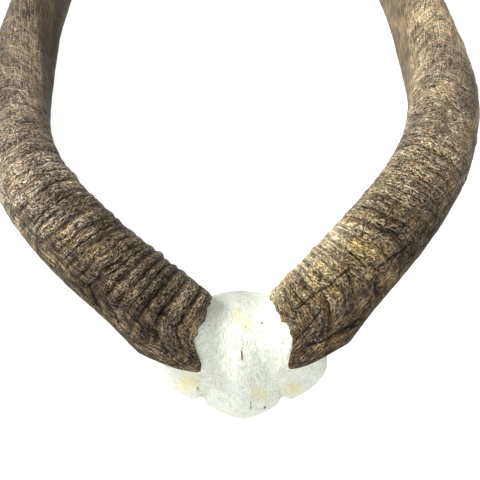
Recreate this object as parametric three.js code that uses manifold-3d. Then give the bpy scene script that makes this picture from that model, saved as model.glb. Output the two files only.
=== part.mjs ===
// Nyala skull cap: a sawn, bleached frontal bone with both horns, lying on its sawn face.
// Millimetres, +Z up, forehead up, nose side toward -Y, horns running back along +Y.
import * as THREE from 'three';
import Module from 'manifold-3d';

const wasm = await Module();
wasm.setup();

const DEG = Math.PI / 180;

// Clear gap between neighbouring pieces.
const GAP = 0.3;

// Axis of one horn: a tapering coil that opens sideways, sinks to the floor and lifts at the tip.
const AXIS = {
  baseHeight: 39.1,
  sideways: 97.96,
  reach: 557.7,
  lift: 176.2,
  coilRadius: 70.35,
  coilTaper: 0.689,
  coilStart: -1.968,
  coilTurn: 6.304,
  coilEase: 0.84,
  coilLag: -0.209,
  coilHeight: 1.002,
  kink: { shift: -1.45, at: 0.3045, run: 0.052 },
  samples: 900,
  probe: 0.004,
};

// The two horns are near mirror images, set and turned a little differently on the bone.
const RIGHT = { name: 'right', mirror: 1, x: 23.93, y: 6.37, yaw: 0.0468, seed: 11 };
const LEFT = { name: 'left', mirror: -1, x: -21.57, y: 7.75, yaw: -0.0439, seed: 29 };

// Cross-section: a rounded body with two keels that turn about the axis toward the tip.
const SECTION = {
  baseRadius: 22.75,
  tipRadius: 1.2,
  taperPower: 1.488,
  widening: 0.0255,
  frontKeel: { angle: 84 * DEG, spread: 17 * DEG, height: 0.0556, lateHeight: 0.0556 },
  backKeel: { angle: -148.5 * DEG, spread: 20 * DEG, height: 0.0694, lateHeight: 0.1048 },
  keelGrowStart: 0.16,
  keelGrowEnd: 0.32,
  twist: 380 * DEG,
  twistPower: 2.4,
  twistLag: 0.411,
  tipFade: 0.6,
  tipFadeStart: 0.45,
  columns: 20,
};

// The body is pinched on the inside of the first bend, before the back keel comes round.
const PINCH = { at: 0.16, run: 0.0457, depth: 0.133, angle: -90 * DEG, spread: 43 * DEG };

// Growth rings on the face between the keels, strongest near the skull, leaning toward the tip
// from the inner side of the face to the outer side.
const RINGS = {
  first: 6,
  last: 205,
  minStep: 5.2,
  maxStep: 11.4,
  minHeight: 0.5,
  maxHeight: 1.8,
  faceCentre: -12 * DEG,
  faceHalf: 93 * DEG,
  faceEdge: 1.12,
  smoothShare: 0.15,
  fadeStart: 130,
  fadeShare: 0.8,
  lean: 6,
  leanDrop: 11,
  leanRise: [-85 * DEG, 40 * DEG],
  leanFall: [45 * DEG, 100 * DEG],
  leanBack: [120 * DEG, 255 * DEG],
  leanStart: [5, 40],
  leanEnd: [75, 130],
};

// Edge of the horn sheath against the bone, measured along the horn from its base centre.
const RIM = {
  level: 11.9,
  tongueAngle: 53 * DEG,
  tongueSpread: 14.6 * DEG,
  tongueReach: 16.4,
  cutStart: 64.9 * DEG,
  cutEnd: 89.1 * DEG,
  cutHold: 190 * DEG,
  cutClose: 285 * DEG,
  cutDepth: 11.9,
  blend: 60,
  floor: 12,
};

// Lip where the edge of the sheath turns the outer corner.
const LIP = { at: 20.9, run: 13, height: 3.27, angle: 98.9 * DEG, spread: 24 * DEG };

// Where each horn is divided, along its axis.
const SPLIT = { first: 214, second: 438, plainStep: 9.5 };

// Half of the sawn outline of the bone, from the front point round to the rear.
const CAP_HALF_OUTLINE = [
  [0, -34.2],
  [11, -31.0],
  [19.3, -26.6],
  [23.6, -21.6],
  [27.4, -22.9],
  [33.6, -20.4],
  [41.6, -15.0],
  [47.8, -8.4],
  [49.3, -0.8],
  [45.5, 12.5],
  [34.5, 26.7],
  [19, 35.3],
  [9.5, 38.1],
  [0, 38.9],
];

// Dome of the frontal bone over its sawn face, turned a little between the horns.
const CAP = {
  yaw: -3.5 * DEG,
  centreY: 6,
  crown: 54,
  frontEdge: 8.5,
  sideEdge: 13,
  rearEdge: 14,
  halfWidth: 49.3,
  domePower: 1.95,
  domeRound: 0.82,
  spokes: 60,
  shells: 11,
  shellBias: 0.9,
  neckFade: 0.8,
};

// Pedicels: the bony necks that the horn sheaths sit on.
const PEDICEL = { radius: 20.4, outerEnd: 11, outerFall: 2.2, innerEnd: -4, innerFall: 0.75, blend: 3.5 };

// Hollows opened by the saw on the underside: braincase roof and the frontal sinuses.
const BRAINCASE = { x: 0, y: 12, width: 27, length: 20, depth: 19 };
const SINUS = { x: 24, y: -11, width: 12, length: 8, depth: 10 };

const HORN_COLOUR = 0x6d5840;
const TIP_COLOUR = 0xcbb994;
const BONE_COLOUR = 0xf1eee0;

function clamp01(value) {
  return Math.min(1, Math.max(0, value));
}

function smooth(from, to, value) {
  const k = clamp01((value - from) / (to - from));
  return k * k * (3 - 2 * k);
}

function wrap(angle) {
  return angle - 2 * Math.PI * Math.floor((angle + Math.PI) / (2 * Math.PI));
}

function bell(offset, spread) {
  return Math.exp(-0.5 * (offset / spread) ** 2);
}

function seeded(seed) {
  let state = seed >>> 0;
  return () => {
    state = (Math.imul(state, 1664525) + 1013904223) >>> 0;
    return state / 4294967296;
  };
}

// One horn as a swept surface; distance s runs from the base centre toward the tip.
class Horn {
  constructor(side) {
    this.side = side;
    this.tableT = [];
    this.tableS = [];
    let length = 0;
    let last = this.local(0);
    for (let i = 0; i <= AXIS.samples; i += 1) {
      const t = i / AXIS.samples;
      const here = this.local(t);
      length += here.distanceTo(last);
      this.tableT.push(t);
      this.tableS.push(length);
      last = here;
    }
    this.length = length;
    this.rings = this.placeRings();
  }

  // Axis before it is mirrored, turned and set on the bone.
  local(t) {
    const turn = AXIS.coilStart + AXIS.coilTurn * t ** AXIS.coilEase;
    const size = AXIS.coilRadius * (1 - AXIS.coilTaper * t);
    const startCos = AXIS.coilRadius * Math.cos(AXIS.coilStart);
    const startSin = AXIS.coilRadius * Math.sin(AXIS.coilStart + AXIS.coilLag);
    const drop = size * Math.sin(turn + AXIS.coilLag) - startSin;
    const kink = AXIS.kink.shift * bell(t - AXIS.kink.at, AXIS.kink.run);
    return new THREE.Vector3(
      AXIS.sideways * t + size * Math.cos(turn) - startCos + kink,
      AXIS.reach * t,
      AXIS.baseHeight + AXIS.lift * t - AXIS.coilHeight * drop,
    );
  }

  parameter(s) {
    if (s <= 0) return 0;
    let low = 0;
    let high = AXIS.samples;
    while (high - low > 1) {
      const mid = (low + high) >> 1;
      if (this.tableS[mid] <= s) low = mid;
      else high = mid;
    }
    const span = this.tableS[high] - this.tableS[low];
    const part = span > 0 ? (s - this.tableS[low]) / span : 0;
    return this.tableT[low] + part * (this.tableT[high] - this.tableT[low]);
  }

  // Centre, tangent and the two cross directions at distance s.
  station(s) {
    const t = this.parameter(s);
    const near = Math.min(Math.max(t, 1.5 * AXIS.probe), 1 - AXIS.probe);
    const tangent = this.local(near + AXIS.probe).sub(this.local(near - AXIS.probe)).normalize();
    const centre = this.local(t);
    if (s < 0) centre.addScaledVector(tangent, s);
    if (s > this.length) centre.addScaledVector(tangent, s - this.length);
    const normal = new THREE.Vector3(0, 0, 1).addScaledVector(tangent, -tangent.z).normalize();
    const across = new THREE.Vector3().crossVectors(tangent, normal);
    return { t, centre, tangent, normal, across };
  }

  twist(t) {
    const rise = t ** SECTION.twistPower;
    return (SECTION.twist * rise) / (rise + SECTION.twistLag * (1 - t));
  }

  radius(t) {
    return SECTION.baseRadius * (1 - t ** SECTION.taperPower) + SECTION.tipRadius * t;
  }

  // Section radius relative to the mean, by angle from the ringed face and, turned, from straight up.
  shape(angle, turned, t) {
    const fade = 1 - SECTION.tipFade * smooth(SECTION.tipFadeStart, 1, t);
    const grown = smooth(SECTION.keelGrowStart, SECTION.keelGrowEnd, t);
    const keels = [SECTION.frontKeel, SECTION.backKeel].reduce((sum, keel) => {
      const height = keel.height + (keel.lateHeight - keel.height) * grown;
      return sum + height * bell(wrap(angle - keel.angle), keel.spread);
    }, 0);
    const aside = bell(wrap(turned - PINCH.angle), PINCH.spread);
    const pinch = PINCH.depth * bell(t - PINCH.at, PINCH.run) * aside;
    return 1 - SECTION.widening * Math.cos(2 * angle) + fade * keels - pinch;
  }

  placeRings() {
    const random = seeded(this.side.seed);
    const rings = [];
    let s = RINGS.first;
    while (s < RINGS.last) {
      const height = RINGS.minHeight + (RINGS.maxHeight - RINGS.minHeight) * random();
      const fade = 1 - RINGS.fadeShare * smooth(RINGS.fadeStart, RINGS.last, s);
      rings.push({ s, height: height * fade });
      s += RINGS.minStep + (RINGS.maxStep - RINGS.minStep) * random();
    }
    return rings;
  }

  // Share of the ring height carried at an angle: full on the ringed face, slight elsewhere.
  ringShare(angle) {
    const off = Math.abs(wrap(angle - RINGS.faceCentre)) / RINGS.faceHalf;
    return 1 - (1 - RINGS.smoothShare) * smooth(2 - RINGS.faceEdge, RINGS.faceEdge, off);
  }

  // How far a ring runs toward the tip at an angle, fading out toward the rim and past the lower rings.
  ringLean(angle, s) {
    const around = angle < RINGS.leanRise[0] ? angle + 2 * Math.PI : angle;
    const rise = RINGS.lean * smooth(...RINGS.leanRise, around);
    const fall = RINGS.leanDrop * smooth(...RINGS.leanFall, around);
    const back = (RINGS.leanDrop - RINGS.lean) * smooth(...RINGS.leanBack, around);
    return (rise - fall + back) * smooth(...RINGS.leanStart, s) * (1 - smooth(...RINGS.leanEnd, s));
  }

  // Start of the sheath at an angle round the base.
  rim(angle) {
    const tongue = RIM.tongueReach * bell(wrap(angle - RIM.tongueAngle), RIM.tongueSpread);
    const around = angle < RIM.tongueAngle - Math.PI / 2 ? angle + 2 * Math.PI : angle;
    const cut = smooth(RIM.cutStart, RIM.cutEnd, around) - smooth(RIM.cutHold, RIM.cutClose, around);
    return RIM.level - tongue + RIM.cutDepth * cut;
  }

  // Stations along one length: two to each ring, then plain steps.
  stations(from, to) {
    const list = [];
    this.rings.forEach((ring, i) => {
      const next = this.rings[i + 1];
      list.push({ s: ring.s, relief: ring.height });
      if (next) list.push({ s: 0.5 * (ring.s + next.s), relief: 0 });
    });
    let s = list[list.length - 1].s + SPLIT.plainStep;
    while (s < this.length - 4) {
      list.push({ s, relief: 0 });
      s += SPLIT.plainStep;
    }
    const inside = list.filter((row) => row.s > from + 2 && row.s < to - 2);
    return [{ s: from, relief: 0 }, ...inside, { s: to, relief: 0 }];
  }

  // Turns a local point to its place on the bone.
  place(point) {
    const { mirror, x, y, yaw } = this.side;
    point.x *= mirror;
    point.applyAxisAngle(new THREE.Vector3(0, 0, 1), yaw);
    point.x += x;
    point.y += y;
    point.z = Math.max(point.z, 0);
    return point;
  }

  surfacePoint(row, angle, grow) {
    const slope = row.s < RIM.blend ? (1 - row.s / RIM.blend) * this.rim(angle) : 0;
    const s = row.s + slope + this.ringLean(angle, row.s);
    const { t, centre, normal, across } = this.station(s);
    const relief = row.relief * this.ringShare(angle);
    const turned = angle + this.twist(t);
    const lip = LIP.height * bell(s - LIP.at, LIP.run) * bell(wrap(turned - LIP.angle), LIP.spread);
    const size = this.radius(t) * this.shape(angle, turned, t) + relief + lip + grow;
    return centre.addScaledVector(normal, size * Math.cos(turned))
      .addScaledVector(across, size * Math.sin(turned));
  }

  // Closed surface of one length of the horn.
  mesh(from, to, grow = 0) {
    const rows = this.stations(from, to);
    const columns = SECTION.columns;
    const points = [];
    rows.forEach((row) => {
      for (let j = 0; j < columns; j += 1) {
        const angle = wrap((2 * Math.PI * j) / columns);
        points.push(this.place(this.surfacePoint(row, angle, grow)));
      }
    });
    const startDistance = from <= 0 ? from + RIM.floor : from;
    const startCentre = points.push(this.place(this.station(startDistance).centre)) - 1;
    const endDistance = to >= this.length ? this.length + SECTION.tipRadius : to;
    const endCentre = points.push(this.place(this.station(endDistance).centre)) - 1;
    const faces = [];
    const lastRow = (rows.length - 1) * columns;
    for (let j = 0; j < columns; j += 1) {
      const k = (j + 1) % columns;
      faces.push([startCentre, k, j]);
      faces.push([endCentre, lastRow + j, lastRow + k]);
      for (let i = 0; i + 1 < rows.length; i += 1) {
        const a = i * columns + j;
        const b = i * columns + k;
        faces.push([a, b, b + columns]);
        faces.push([a, b + columns, a + columns]);
      }
    }
    return surface(points, faces, this.side.mirror < 0);
  }
}

// Indexed geometry from points and triangles, turned inside out when mirrored.
function surface(points, faces, flipped) {
  const geometry = new THREE.BufferGeometry();
  geometry.setFromPoints(points);
  geometry.setIndex(faces.flatMap(([a, b, c]) => (flipped ? [a, c, b] : [a, b, c])));
  return geometry;
}

function toSolid(geometry) {
  const vertProperties = Float32Array.from(geometry.getAttribute('position').array);
  const triVerts = Uint32Array.from(geometry.getIndex().array);
  return new wasm.Manifold(new wasm.Mesh({ numProp: 3, vertProperties, triVerts }));
}

function toGeometry(solid) {
  const { vertProperties, triVerts, numProp } = solid.getMesh();
  const geometry = new THREE.BufferGeometry();
  const points = [];
  for (let i = 0; i < vertProperties.length; i += numProp) {
    points.push(vertProperties[i], vertProperties[i + 1], vertProperties[i + 2]);
  }
  geometry.setAttribute('position', new THREE.Float32BufferAttribute(points, 3));
  geometry.setIndex(Array.from(triVerts));
  return geometry;
}

function outlinePoints() {
  const half = CAP_HALF_OUTLINE.map(([x, y]) => new THREE.Vector3(x, y - CAP.centreY, 0));
  const other = half.slice(1, -1).reverse().map((p) => new THREE.Vector3(-p.x, p.y, 0));
  const points = [...half, ...other];
  points.forEach((p) => {
    p.applyAxisAngle(new THREE.Vector3(0, 0, 1), CAP.yaw);
    p.y += CAP.centreY;
  });
  const curve = new THREE.CatmullRomCurve3(points, true, 'centripetal');
  return Array.from({ length: CAP.spokes }, (_, i) => curve.getPoint(i / CAP.spokes));
}

function edgeHeight(x, y) {
  const side = Math.abs(x) / CAP.halfWidth;
  const end = y < CAP.centreY ? CAP.frontEdge : CAP.rearEdge;
  return end + (CAP.sideEdge - end) * smooth(0, 1, side);
}

// Height of the pedicel's back above the floor, with its ends let down into the dome.
function pedicelHeight(horn, x, y) {
  const { centre, tangent } = horn.station(0);
  const foot = horn.place(centre.clone());
  const ahead = horn.place(centre.clone().add(tangent)).sub(foot);
  const run = Math.hypot(ahead.x, ahead.y);
  const along = ((x - foot.x) * ahead.x + (y - foot.y) * ahead.y) / run;
  const aside = ((x - foot.x) * ahead.y - (y - foot.y) * ahead.x) / run;
  const fall = PEDICEL.outerFall * Math.max(0, along - PEDICEL.outerEnd)
    + PEDICEL.innerFall * Math.max(0, PEDICEL.innerEnd - along);
  const inside = PEDICEL.radius ** 2 - aside ** 2;
  const back = inside > 0 ? Math.sqrt(inside) : -2 * (Math.abs(aside) - PEDICEL.radius);
  return foot.z + (ahead.z / run) * along + back - fall;
}

function softMax(values, blend) {
  const top = Math.max(...values);
  const sum = values.reduce((total, value) => total + Math.exp((value - top) / blend), 0);
  return top + blend * Math.log(sum);
}

function domeHeight(horns, x, y, reach) {
  const edge = edgeHeight(x, y);
  const dome = edge + (CAP.crown - edge) * (1 - reach ** CAP.domePower) ** CAP.domeRound;
  const necks = horns.map((horn) => pedicelHeight(horn, x, y));
  const full = softMax([dome, ...necks], PEDICEL.blend);
  return dome + (full - dome) * (1 - smooth(CAP.neckFade, 1, reach));
}

// Solid bone under the dome: spokes from the centre out to the sawn outline, then down to the floor.
function domeGeometry(horns) {
  const outline = outlinePoints();
  const count = outline.length;
  const points = [];
  for (let shell = 1; shell <= CAP.shells; shell += 1) {
    const reach = Math.sin((0.5 * Math.PI * shell) / CAP.shells) ** CAP.shellBias;
    outline.forEach((edge) => {
      const x = edge.x * reach;
      const y = CAP.centreY + (edge.y - CAP.centreY) * reach;
      points.push(new THREE.Vector3(x, y, domeHeight(horns, x, y, reach)));
    });
  }
  outline.forEach((edge) => points.push(new THREE.Vector3(edge.x, edge.y, 0)));
  const top = points.push(new THREE.Vector3(0, CAP.centreY, domeHeight(horns, 0, CAP.centreY, 0))) - 1;
  const bottom = points.push(new THREE.Vector3(0, CAP.centreY, 0)) - 1;
  const faces = [];
  const lastShell = CAP.shells * count;
  for (let i = 0; i < count; i += 1) {
    const k = (i + 1) % count;
    faces.push([top, i, k]);
    faces.push([bottom, lastShell + k, lastShell + i]);
    for (let shell = 0; shell < CAP.shells; shell += 1) {
      const a = shell * count + i;
      const b = shell * count + k;
      faces.push([a, a + count, b + count]);
      faces.push([a, b + count, b]);
    }
  }
  return surface(points, faces, false);
}

function hollow(size, mirror) {
  const geometry = new THREE.SphereGeometry(1, 24, 12);
  geometry.scale(size.width, size.length, size.depth);
  geometry.translate(mirror * size.x, size.y, 0);
  return geometry;
}

// Sphere with its seam and pole points joined so that it closes.
function closedSolid(geometry) {
  const position = geometry.getAttribute('position');
  const seen = new Map();
  const points = [];
  const remap = [];
  for (let i = 0; i < position.count; i += 1) {
    const p = new THREE.Vector3().fromBufferAttribute(position, i);
    const key = [p.x, p.y, p.z].map((value) => Math.round(value * 1e4)).join(' ');
    if (!seen.has(key)) seen.set(key, points.push(p) - 1);
    remap.push(seen.get(key));
  }
  const index = geometry.getIndex().array;
  const faces = [];
  for (let i = 0; i < index.length; i += 3) {
    const face = [remap[index[i]], remap[index[i + 1]], remap[index[i + 2]]];
    if (new Set(face).size === 3) faces.push(face);
  }
  return toSolid(surface(points, faces, false));
}

function largestBody(solid) {
  const bodies = solid.decompose();
  return bodies.reduce((best, body) => (body.volume() > best.volume() ? body : best));
}

function skullCap(horns) {
  let bone = toSolid(domeGeometry(horns));
  bone = bone.subtract(closedSolid(hollow(BRAINCASE, 1)));
  bone = bone.subtract(closedSolid(hollow(SINUS, 1)));
  bone = bone.subtract(closedSolid(hollow(SINUS, -1)));
  horns.forEach((horn) => {
    bone = bone.subtract(toSolid(horn.mesh(-GAP, SPLIT.first, GAP)));
  });
  return toGeometry(largestBody(bone));
}

function piece(name, geometry, colour, roughness) {
  const material = new THREE.MeshStandardMaterial({ color: colour, roughness, metalness: 0 });
  const mesh = new THREE.Mesh(geometry, material);
  mesh.name = name;
  return mesh;
}

function hornPieces(horn) {
  const title = `horn_${horn.side.name}`;
  const half = 0.5 * GAP;
  return [
    piece(`${title}_base`, horn.mesh(0, SPLIT.first - half), HORN_COLOUR, 0.75),
    piece(`${title}_middle`, horn.mesh(SPLIT.first + half, SPLIT.second - half), HORN_COLOUR, 0.7),
    piece(`${title}_tip`, horn.mesh(SPLIT.second + half, horn.length), TIP_COLOUR, 0.6),
  ];
}

const horns = [new Horn(RIGHT), new Horn(LEFT)];
const group = new THREE.Group();
group.name = 'nyala_skull_cap';
group.add(piece('skull_cap', skullCap(horns), BONE_COLOUR, 0.8));
horns.forEach((horn) => group.add(...hornPieces(horn)));

// The origin is the middle of the bounding box, at floor level.
const box = new THREE.Box3();
group.children.forEach((mesh) => {
  mesh.geometry.computeBoundingBox();
  box.union(mesh.geometry.boundingBox);
});
const middle = box.getCenter(new THREE.Vector3());
group.children.forEach((mesh) => {
  mesh.geometry.translate(-middle.x, -middle.y, -box.min.z);
  mesh.geometry.computeVertexNormals();
});

export default group;
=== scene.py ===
"""Looks of a nyala skull cap: weathered, ringed horns on a bleached, sawn frontal bone.

The shapes follow the same driving dimensions as the solids. Sizes named here are in millimetres,
apart from the table and the lights. Meshes are written in metres.
"""
import logging
import math
from dataclasses import dataclass
from enum import Enum
from functools import reduce

import bmesh
import bpy
import numpy as np
from mathutils import Color, Matrix, Vector, noise


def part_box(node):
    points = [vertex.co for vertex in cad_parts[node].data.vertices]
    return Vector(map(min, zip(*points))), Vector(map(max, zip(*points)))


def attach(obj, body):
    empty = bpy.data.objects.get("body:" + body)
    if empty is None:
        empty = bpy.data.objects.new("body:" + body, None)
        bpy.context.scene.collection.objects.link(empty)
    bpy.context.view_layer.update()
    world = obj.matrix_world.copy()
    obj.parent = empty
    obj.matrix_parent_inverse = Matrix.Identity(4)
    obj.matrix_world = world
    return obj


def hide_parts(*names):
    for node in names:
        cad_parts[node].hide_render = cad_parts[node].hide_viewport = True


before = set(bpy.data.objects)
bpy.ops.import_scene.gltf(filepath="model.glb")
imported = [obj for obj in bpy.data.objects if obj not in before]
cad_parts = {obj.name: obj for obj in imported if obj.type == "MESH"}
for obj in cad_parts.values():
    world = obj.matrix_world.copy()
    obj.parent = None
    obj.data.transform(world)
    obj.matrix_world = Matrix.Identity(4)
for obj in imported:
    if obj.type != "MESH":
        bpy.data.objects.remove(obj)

LOG = logging.getLogger("nyala_skull_cap")
MM = 0.001
# The bone's own frame has the skull's middle line at x = 0. In it the bone's box has these places.
FRONT_POINT_Y = -34.125
BOX_MIDDLE_X = -0.517
# Noise is spread round this number.
NOISE_MIDDLE = 0.5
FULL_CHANNEL = 255

Array = np.ndarray
Socket = bpy.types.NodeSocket


class Side(Enum):
    """The two horns, named as they lie in the picture."""

    RIGHT = "right"
    LEFT = "left"


def smooth_step(start: float, end: float, value: Array) -> Array:
    """Eases from 0 at start to 1 at end.

    Args:
        start: Value where the step begins.
        end: Value where the step is complete.
        value: Numbers to ease.

    Returns:
        The eased numbers, between 0 and 1.
    """
    part = np.clip((value - start) / (end - start), 0.0, 1.0)
    return part * part * (3.0 - 2.0 * part)


def turn_step(turns: tuple, angle: Array) -> Array:
    """Eases from 0 to 1 between two turns in degrees, for angles in radians."""
    return smooth_step(*np.radians(turns), angle)


def bell(offset: Array, spread: float) -> Array:
    """Returns a bell curve of height 1 round offset 0."""
    return np.exp(-0.5 * (offset / spread) ** 2)


def wrap(angle: Array) -> Array:
    """Brings angles in radians to the range from -pi to pi."""
    return angle - 2.0 * np.pi * np.floor((angle + np.pi) / (2.0 * np.pi))


@dataclass(frozen=True)
class Hump:
    """A rounded rise along a horn, at a turn round it and with a spread in degrees."""

    turn: float
    spread: float
    height: float = 1.0

    def at(self, angle: Array) -> Array:
        """Returns the rise at angles in radians."""
        return self.height * bell(wrap(angle - math.radians(self.turn)), math.radians(self.spread))


@dataclass(frozen=True)
class Lumps:
    """Uneven relief: its height, its features per millimetre each way and its octaves."""

    height: float
    scale: tuple
    octaves: int
    fall: float = 0.9
    finer: float = 2.0

    def at(self, points: Array) -> Array:
        """Reads the relief at some points.

        Args:
            points: Points in millimetres, one row each.

        Returns:
            The relief at each, roughly from minus the height to the height.
        """
        rows = (points * np.array(self.scale)).tolist()
        rise = [noise.fractal(Vector(row), self.fall, self.finer, self.octaves) for row in rows]
        return self.height * np.array(rise)


def clear_selection() -> None:
    """Leaves edit mode and deselects every object."""
    if bpy.context.object is not None and bpy.context.object.mode != "OBJECT":
        bpy.ops.object.mode_set(mode="OBJECT")
    bpy.ops.object.select_all(action="DESELECT")


def select_only(obj: bpy.types.Object) -> None:
    """Makes one object the selected and active one.

    Args:
        obj: Object to select.
    """
    clear_selection()
    obj.select_set(True)
    bpy.context.view_layer.objects.active = obj


def apply_modifier(obj: bpy.types.Object, kind: str, **settings: object) -> None:
    """Adds a modifier, sets it and applies it.

    Args:
        obj: Object to change.
        kind: Modifier type.
        **settings: Values for the modifier's properties.
    """
    select_only(obj)
    modifier = obj.modifiers.new(kind.lower(), kind)
    for key, value in settings.items():
        setattr(modifier, key, value)
    bpy.ops.object.modifier_apply(modifier=modifier.name)


def read_points(mesh: bpy.types.Mesh, what: str = "co") -> Array:
    """Reads the places, or the normals, of a mesh's points.

    Args:
        mesh: Mesh to read.
        what: What to read: co for places, normal for normals.

    Returns:
        One row for each point.
    """
    flat = np.empty(len(mesh.vertices) * 3)
    mesh.vertices.foreach_get(what, flat)
    return flat.reshape(-1, 3)


def write_points(mesh: bpy.types.Mesh, points: Array) -> None:
    """Moves the mesh's points to the given rows, in metres."""
    mesh.vertices.foreach_set("co", points.astype(np.float32).ravel())
    mesh.update()


def store(mesh: bpy.types.Mesh, **fields: Array) -> None:
    """Stores a number or a vector per point under each name given.

    Args:
        mesh: Mesh to store on.
        **fields: Numbers, or rows of three, one for each point.
    """
    for name, values in fields.items():
        kind, key = ("FLOAT", "value") if values.ndim == 1 else ("FLOAT_VECTOR", "vector")
        attribute = mesh.attributes.new(name, kind, "POINT")
        attribute.data.foreach_set(key, values.astype(np.float32).ravel())


def srgb(*channels: int) -> tuple[float, ...]:
    """Returns a display colour of red, green and blue from 0 to 255 as a linear shader colour."""
    shown = Color([channel / FULL_CHANNEL for channel in channels])
    return (*shown.from_srgb_to_scene_linear(), 1.0)


@dataclass(frozen=True)
class Grain:
    """Noise for a finish: its features per unit each way, octaves, strength of the finer ones and warp."""

    stretch: tuple = (1.0, 1.0, 1.0)
    scale: float = 1.0
    detail: float = 1.0
    rough: float = 0.55
    warp: float = 0.0
    shift: tuple = (0.0, 0.0, 0.0)


@dataclass(frozen=True)
class Ease:
    """An eased way from the first number to the last while a value goes from low to high."""

    low: float
    high: float
    first: float = 0.0
    last: float = 1.0


class Shader:
    """A small writer of node materials."""

    mix_colours: tuple = (6, 7)
    mix_result: int = 2
    wander_detail: float = 3.0

    def __init__(self, name: str) -> None:
        """Starts a material with a lone surface shader.

        Args:
            name: Name of the material.
        """
        self.material = bpy.data.materials.new(name)
        self.material.use_nodes = True
        self.tree = self.material.node_tree
        self.surface = self.tree.nodes["Principled BSDF"]

    def feed(self, socket: Socket, value: object) -> None:
        """Links an output to a socket, or sets the socket to a plain value.

        Args:
            socket: Socket to feed.
            value: Another node's output, or a number, vector or colour.
        """
        if isinstance(value, Socket):
            self.tree.links.new(value, socket)
        else:
            socket.default_value = value

    def node(self, kind: str, inputs: dict, **settings: object) -> bpy.types.Node:
        """Adds a node.

        Args:
            kind: Type of node.
            inputs: Values or outputs for its sockets, by name or number.
            **settings: Values for the node's properties.

        Returns:
            The node.
        """
        made = self.tree.nodes.new(kind)
        for key, value in settings.items():
            setattr(made, key, value)
        for key, value in inputs.items():
            self.feed(made.inputs[key], value)
        return made

    def dress(self, **values: object) -> None:
        """Feeds the surface shader's sockets, named with _ for each space."""
        for name, value in values.items():
            self.feed(self.surface.inputs[name.replace("_", " ")], value)

    def number(self, name: str) -> Socket:
        """Returns a number that the mesh stores."""
        return self.node("ShaderNodeAttribute", {}, attribute_name=name).outputs["Fac"]

    def vector(self, name: str) -> Socket:
        """Returns a vector that the mesh stores."""
        return self.node("ShaderNodeAttribute", {}, attribute_name=name).outputs["Vector"]

    def object_place(self) -> Socket:
        """Returns the point's place in the object's own frame, in metres."""
        return self.node("ShaderNodeTexCoord", {}).outputs["Object"]

    def stretch(self, vector: Socket, scale: tuple, shift: tuple = (0.0, 0.0, 0.0)) -> Socket:
        """Returns a vector scaled and then shifted."""
        inputs = {"Vector": vector, "Scale": scale, "Location": shift}
        return self.node("ShaderNodeMapping", inputs).outputs["Vector"]

    def noise(self, vector: Socket, grain: Grain) -> Socket:
        """Returns smooth noise round its middle, read at a vector."""
        inputs = {"Vector": self.stretch(vector, grain.stretch, grain.shift), "Scale": grain.scale,
                  "Detail": grain.detail, "Roughness": grain.rough, "Distortion": grain.warp}
        return self.node("ShaderNodeTexNoise", inputs).outputs["Fac"]

    def line_noise(self, along: Socket, scale: float, detail: float = 1.0) -> Socket:
        """Returns noise that varies along one number only."""
        inputs = {"W": along, "Scale": scale, "Detail": detail}
        return self.node("ShaderNodeTexNoise", inputs, noise_dimensions="1D").outputs["Fac"]

    def cells(self, vector: Socket, scale: float, feature: str = "F1") -> Socket:
        """Returns the distance pattern of scattered cells."""
        inputs = {"Vector": vector, "Scale": scale}
        return self.node("ShaderNodeTexVoronoi", inputs, feature=feature).outputs["Distance"]

    def ease(self, value: Socket, way: Ease) -> Socket:
        """Returns a number eased and clamped along its way."""
        inputs = {"Value": value, "From Min": way.low, "From Max": way.high,
                  "To Min": way.first, "To Max": way.last}
        return self.node("ShaderNodeMapRange", inputs, interpolation_type="SMOOTHSTEP").outputs["Result"]

    def math(self, operation: str, *values: object) -> Socket:
        """Combines numbers with one operation, from the first to the last.

        Args:
            operation: Name of the operation.
            *values: Numbers or outputs.

        Returns:
            The result.
        """
        def combine(first: object, second: object) -> Socket:
            """Combines two numbers."""
            return self.node("ShaderNodeMath", {0: first, 1: second}, operation=operation).outputs["Value"]
        return reduce(combine, values)

    def times(self, *values: object) -> Socket:
        """Multiplies numbers."""
        return self.math("MULTIPLY", *values)

    def plus(self, *values: object) -> Socket:
        """Adds numbers."""
        return self.math("ADD", *values)

    def minus(self, first: object, second: object) -> Socket:
        """Takes the second number from the first."""
        return self.math("SUBTRACT", first, second)

    def most(self, *values: object) -> Socket:
        """Returns the largest of some numbers."""
        return self.math("MAXIMUM", *values)

    def between(self, share: object, first: object, second: object) -> Socket:
        """Returns the number that lies a share of the way from the first to the second."""
        return self.plus(self.times(self.minus(second, first), share), first)

    def vector_math(self, operation: str, output: str, *values: object) -> Socket:
        """Combines vectors and returns the named output."""
        inputs = dict(enumerate(values))
        return self.node("ShaderNodeVectorMath", inputs, operation=operation).outputs[output]

    def mix(self, share: object, first: object, second: object, blend: str = "MIX") -> Socket:
        """Blends two colours.

        Args:
            share: How much of the second is laid on the first.
            first: Colour below.
            second: Colour on top.
            blend: How they are combined.

        Returns:
            The blended colour.
        """
        inputs = {"Factor": share, **dict(zip(self.mix_colours, (first, second)))}
        made = self.node("ShaderNodeMix", inputs, data_type="RGBA", blend_type=blend)
        return made.outputs[self.mix_result]

    def tint(self, shade: Socket, tone: Socket) -> Socket:
        """Returns a colour made lighter or darker by a number."""
        level = self.node("ShaderNodeCombineXYZ", dict.fromkeys("XYZ", tone)).outputs["Vector"]
        return self.mix(1.0, shade, level, "MULTIPLY")

    def ramp(self, value: Socket, stops: tuple) -> Socket:
        """Colours a number.

        Args:
            value: Number to colour.
            stops: Rows of a place and its colour, in order.

        Returns:
            The colour.
        """
        made = self.node("ShaderNodeValToRGB", {"Fac": value})
        elements = made.color_ramp.elements
        elements[0].position, elements[0].color = stops[0]
        elements[1].position, elements[1].color = stops[-1]
        for place, colour in stops[1:-1]:
            elements.new(place).color = colour
        return made.outputs["Color"]

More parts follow.
